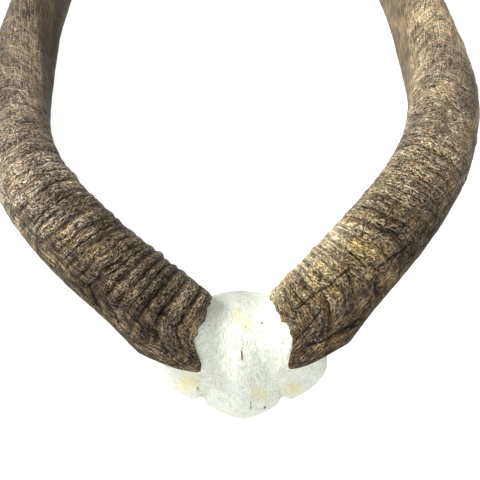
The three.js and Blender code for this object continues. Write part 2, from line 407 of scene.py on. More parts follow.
    def strengthen(self, shade: Socket, strength: Socket) -> Socket:
        """Returns a colour with its strength scaled: 1 as it is, 0 grey."""
        inputs = {"Saturation": strength, "Color": shade}
        return self.node("ShaderNodeHueSaturation", inputs).outputs["Color"]

    def wander(self, vector: Socket, scale: float, amount: float) -> Socket:
        """Moves a vector about by noise.

        Args:
            vector: Place to move.
            scale: Features of the noise per unit.
            amount: Twice the furthest that it moves each way.

        Returns:
            The moved vector.
        """
        inputs = {"Vector": vector, "Scale": scale, "Detail": self.wander_detail}
        cloud = self.node("ShaderNodeTexNoise", inputs).outputs["Color"]
        moved = self.stretch(cloud, (amount,) * 3, (-NOISE_MIDDLE * amount,) * 3)
        return self.vector_math("ADD", "Vector", vector, moved)

    def off_line(self, place: Socket, first: tuple, last: tuple) -> Socket:
        """Measures how far a place is from the straight line between two points.

        Args:
            place: Place to measure from.
            first: One end of the line.
            last: Its other end.

        Returns:
            The distance.
        """
        run = Vector(last) - Vector(first)
        away = self.vector_math("SUBTRACT", "Vector", place, first)
        part = self.vector_math("DOT_PRODUCT", "Value", away, tuple(run / run.length_squared))
        kept = self.node("ShaderNodeClamp", {"Value": part}).outputs["Result"]
        inputs = {0: tuple(run), "Scale": kept}
        along = self.node("ShaderNodeVectorMath", inputs, operation="SCALE").outputs["Vector"]
        return self.vector_math("LENGTH", "Value", self.vector_math("SUBTRACT", "Vector", away, along))

    def crease(self, value: Socket, width: float) -> Socket:
        """Draws thin lines where noise crosses its middle.

        Args:
            value: The noise.
            width: How far from the middle a line reaches.

        Returns:
            A number that is 1 on a line and 0 beside it.
        """
        inputs = {0: self.minus(value, NOISE_MIDDLE)}
        gap = self.node("ShaderNodeMath", inputs, operation="ABSOLUTE").outputs["Value"]
        return self.ease(gap, Ease(0.0, width, 1.0, 0.0))

    def bump(self, height: Socket, depth: float) -> Socket:
        """Returns the normal tilted by a height pattern, with a depth in metres for a step of 1."""
        inputs = {"Strength": 1.0, "Distance": depth, "Height": height}
        return self.node("ShaderNodeBump", inputs).outputs["Normal"]


@dataclass(frozen=True)
class Crack:
    """A split in the keratin between two places, each a distance along the horn and degrees round it."""

    start: tuple
    end: tuple
    width: float = 0.9
    depth: float = 0.7

    def ends(self, girth: float) -> list[tuple[float, float]]:
        """Returns both ends as millimetres along and round a horn of the given radius."""
        return [(along, girth * math.radians(turn)) for along, turn in (self.start, self.end)]


@dataclass(frozen=True)
class HornFinish:
    """Dry, weathered keratin: speckled fibres, grey crests, golden hollows, cracks and pale tips.

    Runs along the growth of the horn are in millimetres. Numbers without a unit are shares or noise levels.
    """

    gold_share: float
    gold_late: float
    grey_share: float
    strength: float
    strength_late: float
    # Tone of the smooth face between the keels: partly painted shade, as it turns away from the light.
    smooth_tone_and_shade: float
    cracks: tuple
    sheen: float = 0.18
    relief: float = 2.0
    gloss: Ease = Ease(0.4, 0.65, 0.5, 0.68)

    # Near black for the splits and cracks: painted shade inside them.
    crack_shade_black: tuple = srgb(16, 12, 8)
    # Dark brown for the dark growth arcs, and as painted shade in pits and ring valleys.
    furrow: tuple = srgb(34, 25, 17)
    # Pale straw for painted glints and highlight lines, and for the bleached inner side, which is partly
    # painted light.
    straw: tuple = srgb(222, 207, 174)
    arc_gold: tuple = srgb(168, 145, 105)
    ivory: tuple = srgb(226, 209, 172)
    tan: tuple = srgb(150, 129, 100)
    browns: tuple = ((0.40, srgb(34, 25, 16)), (0.47, srgb(92, 74, 50)), (0.54, srgb(140, 118, 84)),
                     (0.63, srgb(222, 205, 168)))
    golds: tuple = ((0.40, srgb(50, 36, 19)), (0.47, srgb(126, 99, 60)), (0.54, srgb(170, 139, 89)),
                    (0.63, srgb(230, 209, 164)))
    greys: tuple = ((0.40, srgb(32, 27, 22)), (0.47, srgb(82, 73, 60)), (0.54, srgb(122, 111, 94)),
                    (0.63, srgb(218, 207, 183)))

    speck: Grain = Grain((2.1, 2.1, 1.7))
    strand: Grain = Grain((1.8, 1.8, 0.16), warp=0.2)
    streak: Grain = Grain((0.45, 0.45, 1.9))
    speck_share: float = 0.5
    calm: Ease = Ease(100.0, 170.0, 1.5, 0.85)
    soft: Ease = Ease(0.2, 0.8, 0.46, 0.56)

    blotch: Grain = Grain((1.0, 1.0, 0.8), 0.11, 5.0, 0.65, 0.6)
    patch: Grain = Grain((1.0, 1.0, 0.8), 0.10, 6.0, 0.7, 0.9, (31.0, 7.0, 3.0))
    gilt_pull: float = 0.22
    gilt_edge: Ease = Ease(0.44, 0.60)
    gilt_run: tuple = (110.0, 170.0)
    crust_pull: float = 0.14
    crust_edge: Ease = Ease(0.54, 0.62)
    straw_share: float = 0.35
    fade_run: tuple = (50.0, 170.0)

    fleck: Grain = Grain((1.6, 1.6, 1.2), rough=0.5, shift=(3.0, 8.0, 1.0))
    coarse: Ease = Ease(0.0, 1.0, 0.25, 1.0)
    # Painted glints: specks of straw laid on the colour.
    glint: Ease = Ease(0.62, 0.74, 0.0, 0.5)
    # Painted shade in small pits.
    pit_shade: Ease = Ease(0.38, 0.28, 0.0, 0.6)
    furrow_fill: Ease = Ease(0.36, 0.62, 1.0, 0.7)
    stain: Grain = Grain(scale=0.04, detail=4.0, rough=0.6)
    stain_tone: Ease = Ease(0.38, 0.62, -0.4, 0.24)
    worn_fibre: Ease = Ease(0.42, 0.58, 0.4, 0.0)
    fleck_rise: float = 0.5

    ring_line: tuple = (0.5, 2.0)
    ring_tone: Ease = Ease(0.36, 0.60, -0.5, 0.2)
    ring_run: Ease = Ease(130.0, 170.0, 1.0, 0.3)
    ring_break: Grain = Grain((1.0, 1.0, 1.6), 0.13, 3.0, 0.6)
    ring_gaps: Ease = Ease(0.4, 0.58, 0.15, 1.0)

    split_along: Grain = Grain((0.7, 0.7, 0.05), rough=0.5, warp=0.3)
    split_across: Grain = Grain((0.06, 0.06, 0.55), rough=0.5, warp=0.3)
    split_width: float = 0.022
    split_break: Grain = Grain(scale=0.12, detail=3.0, rough=0.6)
    split_gaps: Ease = Ease(0.42, 0.58, 0.1, 0.85)
    dry_wander: tuple = (0.25, 6.0)
    dry_cells: tuple = (0.13, 0.13, 0.09)
    dry_edge: Ease = Ease(0.0, 0.04, 0.9, 0.0)
    dry_patch: Grain = Grain(scale=0.055, detail=3.0)
    dry_share: Ease = Ease(0.46, 0.56)
    dry_run: Ease = Ease(80.0, 130.0, 1.0, 0.0)

    pale_line: Grain = Grain((0.05, 0.05, 0.42), rough=0.5, warp=0.2, shift=(4.0, 9.0, 2.0))
    pale_width: float = 0.02
    pale_break: Grain = Grain((0.05, 0.05, 0.42), 0.6, 3.0, 0.6, shift=(4.0, 9.0, 2.0))
    pale_gaps: Ease = Ease(0.46, 0.6, 0.0, 0.7)

    crack_wanders: tuple = ((0.12, 3.0), (0.5, 1.0))
    crack_core: float = 0.45
    crack_uneven: Grain = Grain(scale=0.2, detail=3.0, rough=0.6)
    crack_gaps: Ease = Ease(0.36, 0.52, 0.5, 1.0)
    crack_share: float = 0.9
    crack_sink: float = 0.6

    arc_run: Ease = Ease(110.0, 150.0)
    arc_break: Grain = Grain((1.0, 1.0, 2.2), 0.1, 3.0, 0.6, shift=(9.0, 1.0, 5.0))
    arc_width: float = 0.03
    gold_lines: float = 0.28
    gold_gaps: Ease = Ease(0.38, 0.50)
    gold_arc_share: float = 0.7
    dark_lines: float = 0.2
    dark_shift: float = 400.0
    dark_gaps: Ease = Ease(0.56, 0.44)
    dark_arc_share: float = 0.6

    def material(self, name: str, girth: float) -> bpy.types.Material:
        """Writes the material.

        Args:
            name: Name of the material.
            girth: Radius that turns degrees round the horn into millimetres.

        Returns:
            The material, which reads the sheath's own attributes.
        """
        ink = Shader(name)
        straight = ink.vector("straight")
        weave = self.weave(ink, straight)
        fleck = ink.noise(straight, self.fleck)
        patch = ink.noise(straight, self.patch)
        cracks = ink.most(self.fine_splits(ink, straight), self.open_cracks(ink, straight, girth))
        shade = self.fibre_shade(ink, straight, weave, patch)
        shade = self.draw_arcs(ink, straight, shade)
        shade = self.speckle(ink, straight, fleck, shade)
        # Splits and cracks darkened towards near black: painted shade inside them.
        shade = ink.mix(ink.times(cracks, self.crack_share), shade, self.crack_shade_black)
        # The smooth face between the keels is darkened: partly painted shade.
        shade = ink.tint(shade, ink.ease(ink.number("ringed"), Ease(0.0, 1.0, self.smooth_tone_and_shade, 1.0)))
        # Brightness along and round the horn: partly a weathered tone, partly painted light and shade.
        shade = ink.tint(shade, ink.number("weather"))
        worn = ink.mix(ink.ease(weave, self.worn_fibre), self.ivory, self.tan)
        shade = ink.mix(ink.number("paleness"), shade, worn)
        height = ink.plus(weave, ink.times(fleck, self.fleck_rise))
        height = ink.minus(height, ink.times(cracks, self.crack_sink))
        ink.dress(Base_Color=shade, Roughness=ink.ease(patch, self.gloss), Specular_IOR_Level=self.sheen,
                  Normal=ink.bump(height, self.relief * MM))
        return ink.material

    def weave(self, ink: Shader, straight: Socket) -> Socket:
        """Weaves the fibres: short and speckled on the ringed face, long and soft beside it.

        Args:
            ink: The material's writer.
            straight: Place along and round the horn.

        Returns:
            The pattern, spread round the middle of noise.
        """
        speck = ink.noise(straight, self.speck)
        strand = ink.noise(straight, self.strand)
        streak = ink.noise(ink.vector("laid"), self.streak)
        directed = ink.between(ink.number("fibrous"), streak, strand)
        speckled = ink.between(self.speck_share, directed, speck)
        speckled = ink.between(ink.ease(ink.number("growth"), self.calm), NOISE_MIDDLE, speckled)
        return ink.between(ink.number("ringed"), ink.ease(strand, self.soft), speckled)

    def fibre_shade(self, ink: Shader, straight: Socket, weave: Socket, patch: Socket) -> Socket:
        """Colours the fibres: brown, golden in blotches and hollows, grey on crests and where bleached.

        Part of the gold in hollows is a painted highlight, and part of the bleached side is painted light.

        Args:
            ink: The material's writer.
            straight: Place along and round the horn.
            weave: Pattern of the fibres.
            patch: Noise that spreads the grey.

        Returns:
            The colour.
        """
        growth = ink.number("growth")
        bleached = ink.number("bleached")
        # Gold in blotches, pulled towards the slope before each valley, where it is partly a painted
        # highlight.
        gilt = ink.plus(ink.noise(straight, self.blotch), ink.times(ink.number("gilt"), self.gilt_pull))
        late = ink.ease(growth, Ease(*self.gilt_run, 1.0, self.gold_late))
        gilt = ink.times(ink.ease(gilt, self.gilt_edge), self.gold_share, late)
        shade = ink.mix(gilt, ink.ramp(weave, self.browns), ink.ramp(weave, self.golds))
        crust = ink.plus(patch, ink.times(ink.number("crest"), self.crust_pull))
        crust = ink.times(ink.ease(crust, self.crust_edge), self.grey_share, ink.number("ringed"))
        # Grey and straw on crests and on the bleached inner side, which is partly painted light.
        shade = ink.mix(ink.most(crust, bleached), shade, ink.ramp(weave, self.greys))
        shade = ink.mix(ink.times(bleached, self.straw_share), shade, self.straw)
        faded = ink.ease(growth, Ease(*self.fade_run, self.strength, self.strength_late))
        return ink.strengthen(shade, faded)

    def draw_arcs(self, ink: Shader, straight: Socket, shade: Socket) -> Socket:
        """Draws the thin, broken growth lines past the ridged length.

        Args:
            ink: The material's writer.
            straight: Place along and round the horn.
            shade: Colour to draw on.

        Returns:
            The colour with golden and dark arcs.
        """
        growth = ink.number("growth")
        face = ink.times(ink.number("ringed"), ink.ease(growth, self.arc_run))
        gaps = ink.noise(straight, self.arc_break)
        moved = ink.plus(growth, self.dark_shift)
        for along, lines, edge, share, colour in (
                (growth, self.gold_lines, self.gold_gaps, self.gold_arc_share, self.arc_gold),
                (moved, self.dark_lines, self.dark_gaps, self.dark_arc_share, self.furrow)):
            arc = ink.crease(ink.line_noise(along, lines), self.arc_width)
            shade = ink.mix(ink.times(arc, face, ink.ease(gaps, edge), share), shade, colour)
        return shade

    def speckle(self, ink: Shader, straight: Socket, fleck: Socket, shade: Socket) -> Socket:
        """Adds painted glints, painted shade in pits, ring tones, painted ring and valley shading, and
        stains.

        Args:
            ink: The material's writer.
            straight: Place along and round the horn.
            fleck: Noise of single fibres.
            shade: Colour to work on.

        Returns:
            The speckled colour.
        """
        coarse = ink.ease(ink.number("ringed"), self.coarse)
        # Painted highlights: straw glints and pale lines along the rings.
        glint = ink.most(ink.times(ink.ease(fleck, self.glint), coarse), self.ring_highlight_lines(ink))
        shade = ink.mix(glint, shade, self.straw)
        # Painted shade in small pits, in dark brown.
        shade = ink.mix(ink.times(ink.ease(fleck, self.pit_shade), coarse), shade, self.furrow)
        shade = ink.tint(shade, self.fine_rings(ink, straight))
        # Painted shading across each ring: lighter crests, darker valleys.
        shade = ink.tint(shade, ink.number("ridge_tone"))
        # Painted shade in the ring valleys, with dark blocks of colour on the outer crests.
        furrow = ink.times(ink.number("valley"), ink.ease(fleck, self.furrow_fill))
        shade = ink.mix(furrow, shade, self.furrow)
        stained = ink.times(ink.ease(ink.noise(straight, self.stain), self.stain_tone), coarse)
        return ink.tint(shade, ink.plus(stained, 1.0))

    def fine_rings(self, ink: Shader, straight: Socket) -> Socket:
        """Shades the fine ridges between the large rings.

        Args:
            ink: The material's writer.
            straight: Place along and round the horn.

        Returns:
            Their tone, 1 where there are none.
        """
        growth = ink.number("growth")
        tone = ink.ease(ink.line_noise(growth, *self.ring_line), self.ring_tone)
        gaps = ink.ease(ink.noise(straight, self.ring_break), self.ring_gaps)
        return ink.plus(ink.times(tone, ink.number("ringed"), ink.ease(growth, self.ring_run), gaps), 1.0)

    def fine_splits(self, ink: Shader, straight: Socket) -> Socket:
        """Splits the keratin along the fibres or the rings, and in a dry network near the base.

        Args:
            ink: The material's writer.
            straight: Place along and round the horn.

        Returns:
            A number that is 1 in a split.
        """
        along = ink.crease(ink.noise(straight, self.split_along), self.split_width)
        across = ink.crease(ink.noise(ink.vector("laid"), self.split_across), self.split_width)
        split = ink.between(ink.number("fibrous"), across, along)
        gaps = ink.ease(ink.noise(straight, self.split_break), self.split_gaps)
        moved = ink.stretch(ink.wander(straight, *self.dry_wander), self.dry_cells)
        network = ink.ease(ink.cells(moved, 1.0, "DISTANCE_TO_EDGE"), self.dry_edge)
        dry = ink.ease(ink.noise(straight, self.dry_patch), self.dry_share)
        near = ink.ease(ink.number("growth"), self.dry_run)
        return ink.most(ink.times(split, ink.number("ringed"), gaps), ink.times(network, dry, near))

    def ring_highlight_lines(self, ink: Shader) -> Socket:
        """Draws thin pale lines that follow the rings, as painted highlights.

        Args:
            ink: The material's writer.

        Returns:
            A number that is 1 on a line.
        """
        laid = ink.vector("laid")
        line = ink.crease(ink.noise(laid, self.pale_line), self.pale_width)
        gaps = ink.ease(ink.noise(laid, self.pale_break), self.pale_gaps)
        return ink.times(line, gaps, ink.number("ringed"))

    def open_cracks(self, ink: Shader, straight: Socket, girth: float) -> Socket:
        """Returns the named cracks, 1 in a crack.

        Args:
            ink: The material's writer.
            straight: Place along and round the horn.
            girth: Radius that turns degrees round the horn into millimetres.

        Returns:
            How far each point lies in a crack.
        """
        place = reduce(lambda spot, by: ink.wander(spot, *by), self.crack_wanders, ink.vector("flat"))
        place = ink.stretch(place, (1.0, 1.0, 0.0))
        found = []
        for crack in self.cracks:
            first, last = ((*end, 0.0) for end in crack.ends(girth))
            edge = Ease(self.crack_core * crack.width, crack.width, 1.0, 0.0)
            found.append(ink.ease(ink.off_line(place, first, last), edge))
        uneven = ink.ease(ink.noise(straight, self.crack_uneven), self.crack_gaps)
        return ink.times(ink.most(*found), uneven)


@dataclass(frozen=True)
class Mark:
    """A stain or hole on the bone, placed in the bone's own frame in millimetres."""

    x: float
    y: float
    wide: float
    long: float


@dataclass(frozen=True)
class BoneFinish:
    """Bleached bone: chalky white with a fine fibrous grain, faint yellow stains, a slit and pores."""

    grains: tuple = ((0.36, srgb(216, 216, 192)), (0.46, srgb(234, 239, 224)), (0.58, srgb(245, 249, 239)))
    cool: tuple = srgb(222, 231, 226)
    stain: tuple = srgb(240, 226, 142)
    slit: tuple = srgb(126, 88, 44)
    # Dark colour for the pin holes and for a mark beside the brow knob: painted shade.
    pin_shade: tuple = srgb(104, 100, 82)
    sponge: tuple = srgb(176, 168, 136)
    stains: tuple = (Mark(-1.2, 17.5, 3.6, 6.0), Mark(3.0, 10.4, 3.2, 6.0), Mark(8.6, -24.8, 7.0, 4.0),
                     Mark(27.4, -21.0, 6.0, 4.0), Mark(-31.5, -15.0, 10.0, 5.0))
    lines: tuple = (Mark(-0.2, -6.2, 0.6, 3.3), Mark(2.9, -29.7, 0.28, 2.4))
    # Two pin holes, and a dark mark beside the brow knob that is a painted shadow.
    pins_and_knob_shadow: tuple = (Mark(12.0, 10.7, 0.7, 0.7), Mark(10.9, -30.1, 0.7, 0.7), Mark(-26.6, -18.4, 0.4, 0.5))

    fibre: Grain = Grain((0.62, 0.24, 0.4), detail=2.0, rough=0.5, warp=1.6)
    grain: Grain = Grain(scale=0.6, detail=3.0, rough=0.6, warp=0.8)
    grain_share: float = 0.4
    cloud: Grain = Grain(scale=0.06, detail=3.0, rough=0.6)
    cloud_share: Ease = Ease(0.5, 0.72, 0.0, 0.35)
    stain_warp: Grain = Grain(scale=0.3, detail=4.0, rough=0.7)
    stain_ragged: float = 2.4
    stain_edge: Ease = Ease(1.25, 0.1)
    stain_threads: Ease = Ease(0.40, 0.58, 0.12, 0.85)
    mark_edge: Ease = Ease(1.0, 0.5)
    mark_share: float = 0.9
    pore_share: float = 0.6
    pore_cells: float = 0.42
    pore_edge: Ease = Ease(0.08, 0.2, 0.45, 0.0)
    pore_patch: Grain = Grain(scale=0.12, detail=2.0)
    pore_rare: Ease = Ease(0.56, 0.66)
    sponge_cells: float = 0.6
    sponge_edge: Ease = Ease(0.15, 0.42, 1.0, 0.0)
    gloss: Ease = Ease(0.3, 0.7, 0.6, 0.8)
    hole_sink: float = 0.8
    relief: float = 2.0

    def material(self, name: str, origin: Vector) -> bpy.types.Material:
        """Writes the material.

        Args:
            name: Name of the material.
            origin: Place of the bone's own frame in the object, in metres.

        Returns:
            The material.
        """
        ink = Shader(name)
        local = ink.stretch(ink.object_place(), (1.0 / MM,) * 3, tuple(-origin / MM))
        grain = ink.noise(local, self.grain)
        weave = ink.between(self.grain_share, ink.noise(ink.vector("fan"), self.fibre), grain)
        shade = ink.ramp(weave, self.grains)
        shade = ink.mix(ink.ease(ink.noise(local, self.cloud), self.cloud_share), shade, self.cool)
        ragged = ink.minus(ink.noise(local, self.stain_warp), NOISE_MIDDLE)
        ragged = ink.times(ragged, self.stain_ragged)
        threads = ink.ease(weave, self.stain_threads)
        for mark in self.stains:
            share = ink.ease(ink.plus(self.reach(ink, local, mark), ragged), self.stain_edge)
            shade = ink.mix(ink.times(share, threads), shade, self.stain)
        holes = ink.times(self.pores(ink, local), self.pore_share)
        shade = ink.mix(holes, shade, self.sponge)
        # Slits in their own colour; pin holes and the knob's shadow in painted shade.
        for marks, colour in ((self.lines, self.slit), (self.pins_and_knob_shadow, self.pin_shade)):
            for mark in marks:
                hole = ink.ease(self.reach(ink, local, mark), self.mark_edge)
                shade = ink.mix(ink.times(hole, self.mark_share), shade, colour)
                holes = ink.most(holes, hole)
        height = ink.minus(weave, ink.times(holes, self.hole_sink))
        ink.dress(Base_Color=shade, Roughness=ink.ease(grain, self.gloss),
                  Normal=ink.bump(height, self.relief * MM))
        return ink.material

    @staticmethod
    def reach(ink: Shader, local: Socket, mark: Mark) -> Socket:
        """Measures how far a point is from a mark.

        Args:
            ink: The material's writer.
            local: Place in the bone's own frame, in millimetres.
            mark: The mark.

        Returns:
            The distance, 1 at the mark's edge.
        """
        scale = (1.0 / mark.wide, 1.0 / mark.long, 0.0)
        shift = (-mark.x / mark.wide, -mark.y / mark.long, 0.0)
        return ink.vector_math("LENGTH", "Value", ink.stretch(local, scale, shift))

    def pores(self, ink: Shader, local: Socket) -> Socket:
        """Scatters pores on the outside, and close ones on the sawn face and in its hollows.

        Args:
            ink: The material's writer.
            local: Place in the bone's own frame, in millimetres.

        Returns:
            A number that is 1 in a close pore.
        """
        scattered = ink.ease(ink.cells(local, self.pore_cells), self.pore_edge)
        rare = ink.ease(ink.noise(local, self.pore_patch), self.pore_rare)
        close = ink.ease(ink.cells(local, self.sponge_cells), self.sponge_edge)
        return ink.most(ink.times(scattered, rare), ink.times(close, ink.number("sawn")))


@dataclass(frozen=True)
class HornAxis:
    """Centre line of a horn: a tapering coil that opens sideways, sinks to the floor and lifts."""

    base_height: float = 39.1
    sideways: float = 97.96
    reach: float = 557.7
    lift: float = 176.2
    coil_radius: float = 70.35
    coil_taper: float = 0.689
    coil_start: float = -1.968
    coil_turn: float = 6.304
    coil_ease: float = 0.84
    coil_lag: float = -0.209
    coil_height: float = 1.002
    kink_shift: float = -1.45
    kink_at: float = 0.3045
    kink_run: float = 0.052
    samples: int = 900
    probe: float = 0.004
    first_probe: float = 0.006

    def local(self, part: Array) -> Array:
        """Follows the unmirrored axis.

        Args:
            part: Parts of its run, from 0 to 1.

        Returns:
            Points of the axis, one row each.
        """
        turn = self.coil_start + self.coil_turn * part ** self.coil_ease
        size = self.coil_radius * (1.0 - self.coil_taper * part)
        start_cos = self.coil_radius * math.cos(self.coil_start)
        start_sin = self.coil_radius * math.sin(self.coil_start + self.coil_lag)
        drop = size * np.sin(turn + self.coil_lag) - start_sin
        kink = self.kink_shift * bell(part - self.kink_at, self.kink_run)
        return np.stack([
            self.sideways * part + size * np.cos(turn) - start_cos + kink,
            self.reach * part,
            self.base_height + self.lift * part - self.coil_height * drop,
        ], axis=-1)

    def table(self) -> tuple[Array, Array]:
        """Measures along the axis.

        Returns:
            Parts of the run and the distance along the horn to each.
        """
        parts = np.linspace(0.0, 1.0, self.samples + 1)
        steps = np.linalg.norm(np.diff(self.local(parts), axis=0), axis=1)
        return parts, np.concatenate([[0.0], np.cumsum(steps)])

    def stations(self, distance: Array) -> tuple[Array, Array, Array, Array]:
        """Finds the axis and its cross directions.

        Args:
            distance: Distances along the horn from the base centre.

        Returns:
            Parts of the run, centres, upward normals and sideways directions.
        """
        parts, lengths = self.table()
        part = np.interp(distance, lengths, parts)
        near = np.clip(part, self.first_probe, 1.0 - self.probe)
        tangent = self.local(near + self.probe) - self.local(near - self.probe)
        tangent /= np.linalg.norm(tangent, axis=-1, keepdims=True)
        beyond = np.minimum(distance, 0.0) + np.maximum(distance - lengths[-1], 0.0)
        centre = self.local(part) + tangent * beyond[..., None]
        normal = np.array([0.0, 0.0, 1.0]) - tangent * tangent[..., 2:3]
        normal /= np.linalg.norm(normal, axis=-1, keepdims=True)
        return part, centre, normal, np.cross(tangent, normal)


@dataclass(frozen=True)
class Rings:
    """The growth rings at each point: height, level from valley to crest, and part of the way between."""

    height: Array
    crest: Array
    part_way: Array


@dataclass
class Horn:
    """One horn sheath, from its torn rim on the bone to the pale tip.

    Turns are in degrees round the horn from the line that is uppermost at the base, and those of pinch and
    lip from straight up. Runs along it are in millimetres from the base, or parts of the whole run where a
    name ends in part. The origin is the place of the bone's frame in the object, in metres.
    """

    side: Side
    origin: Vector
    x: float
    y: float
    yaw: float
    seed: int
    ring_gain: float
    ring_ink: float
    # Brightness along the horn: partly a weathered tone, partly painted light and shade.
    weather: tuple
    # Painted shade on the lower outer edge.
    edge_shade: float
    # Lightening of the inner side near the base: partly bleaching, partly painted light.
    bleach_and_light: float
    finish: HornFinish
    axis: HornAxis = HornAxis()

    base_radius: float = 22.75
    tip_radius: float = 1.2
    taper_power: float = 1.488
    widening: float = 0.0255
    keels: tuple = ((Hump(84, 17), 0.0556, 0.0556), (Hump(-148.5, 20), 0.0694, 0.1048))
    keel_grow_part: tuple = (0.16, 0.32)
    keel_fade: float = 0.6
    keel_fade_part: tuple = (0.45, 1.0)
    pinch: Hump = Hump(-90, 43, 0.133)
    pinch_part: float = 0.16
    pinch_run_part: float = 0.0457
    groove: Hump = Hump(-131, 9, 1.3)
    groove_from: tuple = (115.0, 170.0)
    twist_total: float = math.radians(380)
    twist_power: float = 2.4
    twist_lag: float = 0.411

    rim_level: float = 11.9
    rim_tongue: Hump = Hump(53, 14.6, 16.4)
    rim_cut: tuple = (64.9, 89.1)
    rim_close: tuple = (190.0, 285.0)
    rim_depth: float = 11.9
    rim_blend: float = 60.0
    rim_floor: float = 12.0
    rim_steps: tuple = (0.90, 0.6, 0.4)
    tip_steps: tuple = (0.7, 0.6)
    torn: Lumps = Lumps(1.5, (0.2, 0.2, 0.0), 4)
    torn_fall: int = 6
    lip: Hump = Hump(98.9, 24, 3.27)
    lip_at: float = 20.9
    lip_run: float = 13.0

    ring_first: float = 6.0
    ring_last: float = 205.0
    ring_step: tuple = (5.2, 11.4)
    ring_height: tuple = (0.5, 1.8)
    draw_factor: int = 1664525
    draw_step: int = 1013904223
    draw_size: int = 4294967296
    ring_face: float = math.radians(-12)
    ring_half: float = math.radians(93)
    ring_edge: tuple = (0.88, 1.12)
    ring_fade_start: float = 130.0
    ring_fade: float = 0.8
    ring_floor: float = 0.12
    ring_sink: float = 0.4
    ring_patches: Lumps = Lumps(1.0, (0.08, 0.08, 0.06), 3)
    ring_patch_edge: tuple = (-0.3, 0.4)
    ring_patch_gain: tuple = (0.45, 0.9)
    ring_outer: tuple = (35.0, 65.0)
    ring_outer_loss: float = 0.7
    ring_inner: tuple = (50.0, 80.0)
    ring_inner_loss: float = 0.4
    ring_ink_fade: tuple = (95.0, 185.0)
    crest_power: float = 0.8
    crest_plain: float = 0.6
    crest_mean: float = 0.62
    ridge_contrast: float = 0.85
    valley_edge: tuple = (0.05, 0.6)

    lean: float = 6.0
    lean_drop: float = 11.0
    lean_rise: tuple = (-85.0, 40.0)
    lean_fall: tuple = (45.0, 100.0)
    lean_back: tuple = (120.0, 255.0)
    lean_start: tuple = (5.0, 40.0)
    lean_end: tuple = (75.0, 130.0)
    lean_again: tuple = (140.0, 215.0)
    lean_late: float = 14.0
    arch: tuple = ((1.0, (-120.0, -50.0)), (-0.6, (-45.0, 20.0)), (-0.4, (80.0, 170.0)))
    sway: Lumps = Lumps(1.4, (0.05, 0.05, 0.02), 2)
    fray: Lumps = Lumps(1.1, (0.1, 0.1, 0.05), 3)

    lumps: Lumps = Lumps(1.0, (0.09, 0.09, 0.07), 4)
    lump_height: float = 0.5
    lump_smooth: float = 0.6
    fibres: Lumps = Lumps(0.2, (0.5, 0.5, 0.1), 2)
    full_body: float = 12.0
    least_body: float = 0.15
    dent_spread: float = 0.8

    # Lower outer edge, painted in shade.
    edge: Hump = Hump(102, 28)
    # Inner side near the base, bleached and painted lighter as if lit.
    bleached: Hump = Hump(-72, 30)
    bleach_at: float = 42.0
    bleach_run: float = 35.0
    bleach_level: float = 0.7
    lobes: Hump = Hump(52, 18, 1.1)
    lobe_crest: tuple = (0.5, 0.8)
    lobe_lumps: tuple = (-0.3, 0.1)
    lobe_most: float = 0.85
    fibre_side: tuple = (5.0, 55.0)
    fibre_late: float = 0.75
    # Gold on the slope before each ring valley: partly a painted highlight of the side that faces the light.
    gilt_at: float = 0.34
    gilt_run: float = 0.1
    gilt_outer: float = 0.5
    pale_run: tuple = (600.0, 640.0)
    pale_uneven: float = 14.0

    around: int = 152
    fine_step: float = 0.75
    fine_until: float = 300.0
    coarse_step: float = 2.6
    seed_step: float = 7.0
    weld: float = 0.004
    row_slack: float = 0.01

    def length(self) -> float:
        """Returns the length along the curve."""
        return float(self.axis.table()[1][-1])

    def rows(self) -> Array:
        """Spaces the rows of the mesh, close together where rings show.

        Returns:
            Their distances along the horn.
        """
        fine = np.arange(0.0, self.fine_until, self.fine_step)
        count = int((self.length() - self.fine_until) / self.coarse_step)
        return np.concatenate([fine, np.linspace(self.fine_until, self.length(), count + 1)])

    def ring_places(self) -> tuple[Array, Array]:
        """Draws the growth rings from a seeded row of numbers.

        Returns:
            The places and the heights of the rings.
        """
        state = self.seed
        places, heights = [], []
        place = self.ring_first

        def chance(low: float, high: float) -> float:
            """Returns the next number between two ends."""
            nonlocal state
            state = (state * self.draw_factor + self.draw_step) % self.draw_size
            return low + (high - low) * (state / self.draw_size)

        while place < self.ring_last:
            height = chance(*self.ring_height)
            worn = float(smooth_step(self.ring_fade_start, self.ring_last, np.array(place)))
            places.append(place)
            heights.append(height * (1.0 - self.ring_fade * worn))
            place += chance(*self.ring_step)
        return np.array(places), np.array(heights)

    def rim(self, angle: Array) -> Array:
        """Finds the torn edge of the sheath.

        Args:
            angle: Angles round the base.

        Returns:
            Where the sheath starts, along the horn.
        """
        tongue = self.rim_tongue.at(angle)
        turned = np.where(angle < math.radians(self.rim_tongue.turn) - np.pi / 2, angle + 2 * np.pi, angle)
        cut = turn_step(self.rim_cut, turned) - turn_step(self.rim_close, turned)
        return self.rim_level - tongue + self.rim_depth * cut

    def ring_lean(self, angle: Array, distance: Array) -> Array:
        """Leans the rings and growth lines.

        Args:
            angle: Angle of each point from the ringed face.
            distance: Distance along the horn.

        Returns:
            How far a ring runs toward the tip.
        """
        around = np.where(angle < math.radians(self.lean_rise[0]), angle + 2 * np.pi, angle)
        back = turn_step(self.lean_back, around)
        low = self.lean * (turn_step(self.lean_rise, around) - back)
        low = low + self.lean_drop * (back - turn_step(self.lean_fall, around))
        low = low * smooth_step(*self.lean_start, distance) * (1.0 - smooth_step(*self.lean_end, distance))
        late = sum(share * turn_step(turns, angle) for share, turns in self.arch)
        return low + self.lean_late * late * smooth_step(*self.lean_again, distance)

